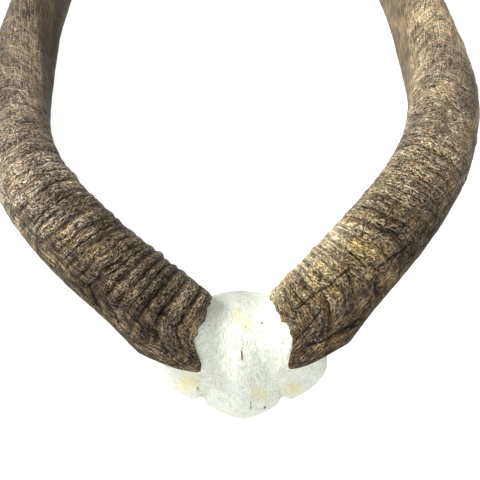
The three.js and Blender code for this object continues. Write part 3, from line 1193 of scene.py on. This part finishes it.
    def radius(self, angle: Array, turned: Array, part: Array, distance: Array) -> Array:
        """Returns the distance of the plain surface from the axis.

        Args:
            angle: Angle from the ringed face.
            turned: Angle from straight up.
            part: Part of the axis's run.
            distance: Distance along the horn.

        Returns:
            Distances in millimetres.
        """
        mean = self.base_radius * (1.0 - part ** self.taper_power) + self.tip_radius * part
        fade = 1.0 - self.keel_fade * smooth_step(*self.keel_fade_part, part)
        grown = smooth_step(*self.keel_grow_part, part)
        keels = sum((early + (late - early) * grown) * keel.at(angle) for keel, early, late in self.keels)
        pinch = self.pinch.at(turned) * bell(part - self.pinch_part, self.pinch_run_part)
        lip = self.lip.at(turned) * bell(distance - self.lip_at, self.lip_run)
        groove = self.groove.at(angle) * (1.0 - part) * smooth_step(*self.groove_from, distance)
        return mean * (1.0 - self.widening * np.cos(2 * angle) + fade * keels - pinch) + (lip - groove)

    def twist(self, part: Array) -> Array:
        """Returns how far the keels have turned about the axis."""
        rise = part ** self.twist_power
        return self.twist_total * rise / (rise + self.twist_lag * (1.0 - part))

    def ringed_share(self, angle: Array) -> Array:
        """Returns 1 on the ringed face and less on the smooth face between the keels."""
        off = np.abs(wrap(angle - self.ring_face)) / self.ring_half
        return 1.0 - smooth_step(*self.ring_edge, off)

    def outer_share(self, angle: Array) -> Array:
        """Returns how high the rings stay towards the outer side, 1 where they are whole."""
        return 1.0 - self.ring_outer_loss * turn_step(self.ring_outer, angle)

    def ring_relief(self, angle: Array, straight: Array) -> Array:
        """Varies the height of the rings.

        Args:
            angle: Angle of each point from the ringed face.
            straight: Place of each point on a straight horn of even girth.

        Returns:
            How far the rings stand out, 1 as they were grown.
        """
        level, gain = self.ring_patch_gain
        patchy = level + gain * smooth_step(*self.ring_patch_edge, self.ring_patches.at(straight))
        inner = 1.0 - self.ring_inner_loss * turn_step(self.ring_inner, -angle)
        face = self.ring_floor + (1.0 - self.ring_floor) * self.ringed_share(angle)
        return self.ring_gain * face * patchy * self.outer_share(angle) * inner

    def rings(self, growth: Array) -> Rings:
        """Shapes the rings: round crests and sharp valleys.

        Args:
            growth: Distance along the growth of each point.

        Returns:
            The rings at each point, plain before the first and past the last.
        """
        places, heights = self.ring_places()
        at = np.clip(np.searchsorted(places, growth) - 1, 0, len(places) - 2)
        part = np.clip((growth - places[at]) / (places[at + 1] - places[at]), 0.0, 1.0)
        near = np.where(part < 0.5, heights[at], heights[at + 1])
        crest = np.sin(0.5 * np.pi * np.abs(1.0 - 2.0 * part)) ** self.crest_power
        inside = (growth > places[0]) & (growth < places[-1])
        return Rings(np.where(inside, near * crest, 0.0), np.where(inside, crest, self.crest_plain),
                     np.where(inside, part, 0.0))

    def dents(self, flat: Array) -> Array:
        """Dents the sheath along its cracks.

        Args:
            flat: Places along and round the horn, one row each.

        Returns:
            How deep each point is pressed, in millimetres.
        """
        depth = np.zeros(len(flat))
        for crack in self.finish.cracks:
            first, last = np.array(crack.ends(self.base_radius))
            run = last - first
            part = np.clip(((flat - first) @ run) / (run @ run), 0.0, 1.0)
            off = np.linalg.norm(flat - first - part[:, None] * run, axis=1)
            depth = np.maximum(depth, crack.depth * bell(off, self.dent_spread + crack.width))
        return depth

    def build(self) -> bpy.types.Object:
        """Models the sheath from a flat grid wrapped round the axis, with its ends closed.

        Returns:
            The sheath as one closed mesh.
        """
        rows = self.rows()
        clear_selection()
        bpy.ops.mesh.primitive_grid_add(x_subdivisions=self.around, y_subdivisions=len(rows) - 1, size=1.0)
        sheath = bpy.context.object
        sheath.name = f"horn_{self.side.value}_sheath"
        column, row, _ = (read_points(sheath.data) + 0.5).T
        angle = (2.0 * np.round(column * self.around) / self.around - 1.0) * np.pi
        nominal = rows[np.round(row * (len(rows) - 1)).astype(int)]
        self.wrap_grid(sheath.data, angle, nominal)
        self.close_ends(sheath, nominal)
        return sheath

    def wrap_grid(self, mesh: bpy.types.Mesh, angle: Array, nominal: Array) -> None:
        """Moves the grid's points onto the horn and stores what the finish reads.

        Args:
            mesh: The flat grid.
            angle: Angle of each point from the ringed face.
            nominal: Distance of each point's row along the horn.
        """
        girth = self.base_radius
        straight = np.stack([girth * np.cos(angle), girth * np.sin(angle), nominal], axis=-1)
        straight += self.seed * self.seed_step
        flat = np.stack([nominal, girth * angle], axis=-1)
        slope = np.clip(1.0 - nominal / self.rim_blend, 0.0, 1.0)
        distance = nominal + slope * self.rim(angle) + self.torn.at(straight) * slope ** self.torn_fall
        part, centre, normal, across = self.axis.stations(distance)
        turned = angle + self.twist(part)
        growth = nominal - self.ring_lean(angle, nominal) + self.sway.at(straight) + self.fray.at(straight)
        rings = self.rings(growth)
        gain = self.ring_relief(angle, straight)
        lumps = self.lumps.at(straight)
        size = self.radius(angle, turned, part, distance)
        body = np.clip(size / self.full_body, self.least_body, 1.0)
        smooth = self.lump_smooth + (1.0 - self.lump_smooth) * self.ringed_share(angle)
        size = size + gain * (rings.height - self.ring_sink)
        uneven = smooth * self.lump_height * lumps + self.fibres.at(straight)
        size = size + body * uneven - self.dents(flat)
        outward = normal * np.cos(turned)[:, None] + across * np.sin(turned)[:, None]
        write_points(mesh, self.place(centre + size[:, None] * outward))
        store(mesh, straight=straight, growth=growth, flat=np.column_stack([flat, np.zeros(len(flat))]),
              laid=np.column_stack([straight[:, :2], growth]))
        self.store_wear(mesh, angle, nominal, lumps)
        self.store_rings(mesh, angle, nominal, rings, gain, lumps)

    def store_wear(self, mesh: bpy.types.Mesh, angle: Array, nominal: Array, lumps: Array) -> None:
        """Stores where the keratin is ringed, fibrous, weathered, bleached and pale, with painted light and
        shade.

        Args:
            mesh: The sheath.
            angle: Angle of each point from the ringed face.
            nominal: Distance of each point's row along the horn.
            lumps: Uneven relief at each point.
        """
        along = turn_step(self.fibre_side, angle)
        fibrous = along + (self.fibre_late - along) * smooth_step(*self.lean_again, nominal)
        # Bleached inner side, partly painted light.
        bleached = np.clip(self.bleaching_and_light(angle, nominal) * (self.bleach_level + lumps), 0.0, 1.0)
        store(mesh, ringed=self.ringed_share(angle), fibrous=fibrous, bleached=bleached,
              weather=self.weathering(angle, nominal),
              paleness=smooth_step(*self.pale_run, nominal + self.pale_uneven * lumps))

    def store_rings(self, mesh: bpy.types.Mesh, angle: Array, nominal: Array, rings: Rings, gain: Array,
                    lumps: Array) -> None:
        """Stores the crests, valleys and golden hollows of the rings, with painted shade and highlights.

        Args:
            mesh: The sheath.
            angle: Angle of each point from the ringed face.
            nominal: Distance of each point's row along the horn.
            rings: The rings at each point.
            gain: How far the rings stand out.
            lumps: Uneven relief at each point.
        """
        ink = self.ring_ink * (1.0 - smooth_step(*self.ring_ink_fade, nominal))
        strength = np.clip(gain, 0.0, 1.0) * ink
        lobes = self.lobes.at(angle) * smooth_step(*self.lobe_crest, rings.crest)
        lobes = np.clip(lobes * smooth_step(*self.lobe_lumps, lumps) * ink, 0.0, self.lobe_most)
        # Painted shade in the ring valleys, joined below by dark blocks of colour on the outer crests.
        valley = (1.0 - smooth_step(*self.valley_edge, rings.crest)) * strength
        # Gold on the slope before each valley: partly a painted highlight, plus gold on the outer side.
        gilt = bell(rings.part_way - self.gilt_at, self.gilt_run) * strength
        # The ridge shading is painted light and shade across each ring: lighter crests, darker valleys.
        store(mesh, crest=rings.crest * strength, valley=np.maximum(valley, lobes),
              gilt=gilt + self.gilt_outer * (1.0 - self.outer_share(angle)),
              ridge_tone=1.0 + self.ridge_contrast * (rings.crest - self.crest_mean) * strength)

    def weathering(self, angle: Array, along: Array) -> Array:
        """Returns how bright the keratin is painted, with painted shade and light."""
        # 1 leaves the colours as they are. The tone along the horn is partly weathering, partly painted
        # light and shade.
        # The lower edge gets painted shade; the inner base is lighter, partly bleaching and partly painted
        # light.
        tone = np.interp(along, *zip(*self.weather)) * (1.0 - self.edge_shade * self.edge.at(angle))
        return tone * (1.0 + self.bleaching_and_light(angle, along))

    def bleaching_and_light(self, angle: Array, along: Array) -> Array:
        """Returns how far the inner side near the base is bleached and painted lit."""
        return self.bleach_and_light * self.bleached.at(angle) * bell(along - self.bleach_at, self.bleach_run)

    def place(self, points: Array) -> Array:
        """Mirrors, turns and sets points on the bone, and keeps them on the floor.

        Args:
            points: Points of the unmirrored horn, in millimetres.

        Returns:
            The points in the object's frame, in metres.
        """
        x, y, z = np.moveaxis(points, -1, 0)
        x = x if self.side is Side.RIGHT else -x
        cos, sin = math.cos(self.yaw), math.sin(self.yaw)
        placed = [cos * x - sin * y + self.x, sin * x + cos * y + self.y, np.maximum(z, 0.0)]
        return np.stack(placed, axis=-1) * MM + np.array(self.origin)

    def close_ends(self, sheath: bpy.types.Object, nominal: Array) -> None:
        """Joins the seam, gives the rim its lip and floor, and closes the tip.

        Args:
            sheath: The wrapped grid.
            nominal: Distance of each point's row along the horn.
        """
        tip = self.length()
        store(sheath.data, row=nominal)
        select_only(sheath)
        bpy.ops.object.mode_set(mode="EDIT")
        bpy.ops.mesh.select_all(action="SELECT")
        bpy.ops.mesh.remove_doubles(threshold=self.weld * MM)
        for row, middle, shrinks in ((0.0, self.rim_floor, self.rim_steps),
                                     (tip, tip + self.tip_radius, self.tip_steps)):
            self.select_row(sheath, row)
            _, centre, _, _ = self.axis.stations(np.array([middle]))
            pivot = tuple(self.place(centre)[0])
            for shrink in shrinks:
                bpy.ops.mesh.extrude_edges_move()
                bpy.ops.transform.resize(value=(shrink,) * 3, center_override=pivot)
            bpy.ops.mesh.extrude_edges_move()
            bpy.ops.mesh.merge(type="CENTER")
        bpy.ops.mesh.select_all(action="SELECT")
        bpy.ops.mesh.normals_make_consistent(inside=False)
        bpy.ops.object.mode_set(mode="OBJECT")
        bpy.ops.object.shade_smooth()

    def select_row(self, sheath: bpy.types.Object, row: float) -> None:
        """Selects the open edges of one end row, in edit mode.

        Args:
            sheath: The sheath.
            row: Distance of the row along the horn.
        """
        work = bmesh.from_edit_mesh(sheath.data)
        layer = work.verts.layers.float["row"]
        for part in (*work.faces, *work.edges, *work.verts):
            part.select = False
        for edge in work.edges:
            ends_here = all(abs(vert[layer] - row) < self.row_slack for vert in edge.verts)
            edge.select = edge.is_boundary and ends_here
        work.select_flush_mode()
        bmesh.update_edit_mesh(sheath.data)

    def dress(self, sheath: bpy.types.Object) -> None:
        """Gives the sheath its finish and its place in the frame.

        Args:
            sheath: The modelled sheath.
        """
        sheath.data.materials.clear()
        sheath.data.materials.append(self.finish.material(f"{sheath.name}_keratin", self.base_radius))
        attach(sheath, "root")
        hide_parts(*(f"horn_{self.side.value}_{length}" for length in ("base", "middle", "tip")))


@dataclass
class SkullBone:
    """The sawn frontal bone between the horns.

    The origin is the place of the bone's frame in the object, in metres.
    """

    finish: BoneFinish
    origin: Vector
    voxel: float = 0.9
    weld: float = 0.001
    smoothing: int = 8
    smooth_share: float = 0.5
    sawn_share: float = 0.4
    sawn_slope: float = -0.3
    swells: Lumps = Lumps(0.35, (0.09, 0.09, 0.09), 4)
    pits: Lumps = Lumps(0.14, (0.4, 0.4, 0.4), 3)
    furrows: Lumps = Lumps(0.16, (0.4, 0.12, 0.3), 3)
    fan_y: float = 42.0
    fan_reach: float = 45.0
    notches: tuple = ((21.9, -23.0), (-25.2, -20.1))
    notch_run: float = 6.5
    notch_hold: float = 1.3
    notch_width: float = 1.3
    notch_depth: float = 1.8
    notch_lean: float = 0.25
    knob: tuple = (-27.6, -17.5)
    knob_size: float = 1.8
    knob_height: float = 0.9

    def build(self) -> bpy.types.Object:
        """Models the bone from a rounded copy of its solid, with its own lumps and furrows.

        Returns:
            The bone as one closed mesh.
        """
        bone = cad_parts["skull_cap"].copy()
        bone.data = bone.data.copy()
        bone.name = "skull_bone"
        bone.parent = None
        bpy.context.collection.objects.link(bone)
        select_only(bone)
        bpy.ops.object.mode_set(mode="EDIT")
        bpy.ops.mesh.select_all(action="SELECT")
        bpy.ops.mesh.remove_doubles(threshold=self.weld * MM)
        bpy.ops.object.mode_set(mode="OBJECT")
        bone.data.remesh_voxel_size = self.voxel * MM
        bpy.ops.object.voxel_remesh()
        sawn = read_points(bone.data)[:, 2] < self.sawn_share * self.voxel * MM
        apply_modifier(bone, "SMOOTH", factor=self.smooth_share, iterations=self.smoothing)
        self.sculpt(bone.data, sawn)
        select_only(bone)
        bpy.ops.object.shade_smooth()
        return bone

    def sculpt(self, mesh: bpy.types.Mesh, sawn: Array) -> None:
        """Presses lumps, furrows and the brow notches into the bone, and keeps the sawn face flat.

        Args:
            mesh: The rounded bone.
            sawn: True for points on the sawn face.
        """
        points = read_points(mesh)
        normals = read_points(mesh, "normal")
        local = (points - np.array(self.origin)) / MM
        fan = self.fanned(local)
        push = self.swells.at(local) + self.pits.at(local) + self.furrows.at(fan)
        for x, y in self.notches:
            along = local[:, 1] - y
            lean = math.copysign(self.notch_lean, x) * along
            furrow = bell(local[:, 0] - x + lean, self.notch_width)
            push -= self.notch_depth * furrow * (1.0 - smooth_step(self.notch_hold, self.notch_run, along))
        push += self.knob_height * bell(np.linalg.norm(local[:, :2] - self.knob, axis=1), self.knob_size)
        points += normals * push[:, None] * MM
        points[sawn, 2] = 0.0
        points[:, 2] = np.maximum(points[:, 2], 0.0)
        write_points(mesh, points)
        store(mesh, fan=fan, sawn=(sawn | (normals[:, 2] < self.sawn_slope)).astype(float))

    def fanned(self, local: Array) -> Array:
        """Lays places along the grain, which fans out from behind the bone.

        Args:
            local: Places in the bone's own frame, in millimetres.

        Returns:
            Places across, along and above the grain.
        """
        from_rear = local[:, :2] - np.array([0.0, self.fan_y])
        spread = np.arctan2(from_rear[:, 0], -from_rear[:, 1])
        return np.stack([self.fan_reach * spread, np.hypot(*from_rear.T), local[:, 2]], axis=-1)

    def dress(self, bone: bpy.types.Object) -> None:
        """Gives the bone its finish and its place in the frame.

        Args:
            bone: The modelled bone.
        """
        bone.data.materials.clear()
        bone.data.materials.append(self.finish.material("bleached_bone", self.origin))
        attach(bone, "root")
        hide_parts("skull_cap")


@dataclass(frozen=True)
class Lamp:
    """A soft square light: its place and side in metres, and its power in watts."""

    name: str
    place: tuple
    side: float
    power: float

    def hang(self, target: tuple) -> None:
        """Hangs the light so that it faces a target.

        Args:
            target: Place that the light faces, in metres.
        """
        clear_selection()
        bpy.ops.object.light_add(type="AREA", location=self.place)
        light = bpy.context.object
        light.name = self.name
        light.data.size = self.side
        light.data.energy = self.power
        toward = Vector(target) - Vector(self.place)
        light.rotation_euler = toward.to_track_quat("-Z", "Y").to_euler()


@dataclass(frozen=True)
class Studio:
    """Plain white table, soft light and the camera that looks down on the forehead.

    The table's side and drop and the lit place are in metres, the camera's places in millimetres.
    """

    elevation: float = math.radians(75)
    distance: float = 900.0
    roll: float = math.radians(-3.65)
    aim: tuple = (2.73, 67.98, 20.0)
    picture_pixels: int = 480
    pixel: float = 0.585
    sensor: float = 36.0
    table_side: float = 8.0
    table_drop: float = 0.0004
    table_grey: tuple = (0.3, 0.3, 0.3, 1.0)
    table_roughness: float = 0.9
    table_glow: float = 0.9
    white: tuple = (1.0, 1.0, 1.0, 1.0)
    sky_strength: float = 0.32
    lit_place: tuple = (0.0, -0.15, 0.03)
    lamps: tuple = (Lamp("key_light", (-0.9, 0.3, 1.05), 0.45, 26.0),
                    Lamp("front_light", (-0.15, -1.3, 1.2), 1.0, 10.5),
                    Lamp("top_light", (0.0, -0.1, 1.7), 1.4, 4.0))

    def light_table(self) -> None:
        """Lays the pale floor and hangs the lights."""
        clear_selection()
        bpy.ops.mesh.primitive_plane_add(size=self.table_side, location=(0.0, 0.0, -self.table_drop))
        table = bpy.context.object
        table.name = "white_table"
        ink = Shader("white_table_top")
        ink.dress(Base_Color=self.table_grey, Roughness=self.table_roughness, Emission_Color=self.white,
                  Emission_Strength=self.table_glow)
        table.data.materials.append(ink.material)
        for lamp in self.lamps:
            lamp.hang(self.lit_place)
        world = bpy.data.worlds.new("studio")
        world.use_nodes = True
        sky = world.node_tree.nodes["Background"].inputs
        sky["Color"].default_value = self.white
        sky["Strength"].default_value = self.sky_strength
        bpy.context.scene.world = world
        bpy.context.scene.view_settings.view_transform = "Standard"

    def camera(self, origin: Vector) -> None:
        """Sets the camera at the photograph's angle.

        Args:
            origin: Place of the bone's frame in the object, in metres.
        """
        cos, sin = math.cos(self.elevation), math.sin(self.elevation)
        forward = Vector((0.0, cos, -sin))
        right, up = Vector((1.0, 0.0, 0.0)), Vector((0.0, sin, cos))
        turned_right = right * math.cos(self.roll) + up * math.sin(self.roll)
        turned_up = up * math.cos(self.roll) - right * math.sin(self.roll)
        place = origin + (Vector(self.aim) - forward * self.distance) * MM
        data = bpy.data.cameras.new("photo_camera")
        data.sensor_width = self.sensor
        data.lens = self.sensor * self.distance / (self.picture_pixels * self.pixel)
        camera = bpy.data.objects.new("photo_camera", data)
        bpy.context.collection.objects.link(camera)
        turn = Matrix((turned_right, turned_up, -forward)).transposed()
        camera.matrix_world = Matrix.Translation(place) @ turn.to_4x4()
        bpy.context.scene.camera = camera


def bone_origin() -> Vector:
    """Returns the place of the bone's own frame: its middle line, and the floor."""
    low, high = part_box("skull_cap")
    return Vector((0.5 * (low[0] + high[0]) - BOX_MIDDLE_X * MM, low[1] - FRONT_POINT_Y * MM, 0.0))


def right_horn(origin: Vector) -> Horn:
    """Describes the right horn: golden, with a bleached, painted-lit inner base and many cracks.

    Args:
        origin: Place of the bone's frame in the object, in metres.

    Returns:
        The horn.
    """
    cracks = (
        Crack((13, -8), (50, 4), 0.75), Crack((2, 26), (24, 17), 0.7), Crack((31, -6), (26, 38), 0.6),
        Crack((49, 3), (44, 33), 0.55), Crack((57, 50), (53, 66), 1.5, 1.8), Crack((63, 34), (79, 46), 0.8),
        Crack((78, -8), (81, 24), 0.8), Crack((81, 24), (88, 21), 0.7), Crack((13, 44), (34, 73), 1.1, 1.5),
        Crack((59, -12), (59, 19), 0.8),
    )
    finish = HornFinish(gold_share=1.0, gold_late=0.75, grey_share=0.55, strength=1.1, strength_late=0.78,
                        smooth_tone_and_shade=0.42, cracks=cracks)
    return Horn(Side.RIGHT, origin, x=23.93, y=6.37, yaw=0.0468, seed=11, ring_gain=1.0, ring_ink=0.7,
                weather=((0, 1.12), (90, 1.1), (170, 1.6), (240, 2.36), (600, 1.0)),
                edge_shade=0.7, bleach_and_light=1.1, finish=finish)


def left_horn(origin: Vector) -> Horn:
    """Describes the left horn: darker, with strong rings and cracks between them.

    Args:
        origin: Place of the bone's frame in the object, in metres.

    Returns:
        The horn.
    """
    cracks = (
        Crack((27, 16), (18, 9), 1.2), Crack((29, 36), (19, 56), 0.8), Crack((66, 50), (56, 69), 1.0, 1.4),
        Crack((55, 51), (43, 67), 0.7), Crack((38, 45), (27, 61), 0.7), Crack((84, 46), (77, -90), 0.6, 0.9),
        Crack((107, 38), (106, -75), 0.7, 1.0), Crack((64, 50), (56, -82), 0.5, 0.7),
    )
    finish = HornFinish(gold_share=0.95, gold_late=0.3, grey_share=0.65, strength=1.03, strength_late=0.7,
                        smooth_tone_and_shade=0.41, cracks=cracks)
    return Horn(Side.LEFT, origin, x=-21.57, y=7.75, yaw=-0.0439, seed=29, ring_gain=1.3, ring_ink=1.0,
                weather=((0, 0.69), (70, 0.66), (135, 1.36), (225, 0.9), (600, 0.85)),
                edge_shade=0.2, bleach_and_light=0.1, finish=finish)


def main() -> None:
    """Builds the bone, the horns and the studio, and reports each piece."""
    logging.basicConfig(level=logging.INFO, format="%(name)s: %(message)s")
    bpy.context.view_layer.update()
    origin = bone_origin()
    bone = SkullBone(BoneFinish(), origin)
    bone_piece = bone.build()
    bone.dress(bone_piece)
    LOG.info("%s has %d faces", bone_piece.name, len(bone_piece.data.polygons))
    for horn in (right_horn(origin), left_horn(origin)):
        sheath = horn.build()
        horn.dress(sheath)
        LOG.info("%s has %d faces", sheath.name, len(sheath.data.polygons))
    studio = Studio()
    studio.light_table()
    studio.camera(origin)


if __name__ == "__main__":
    main()
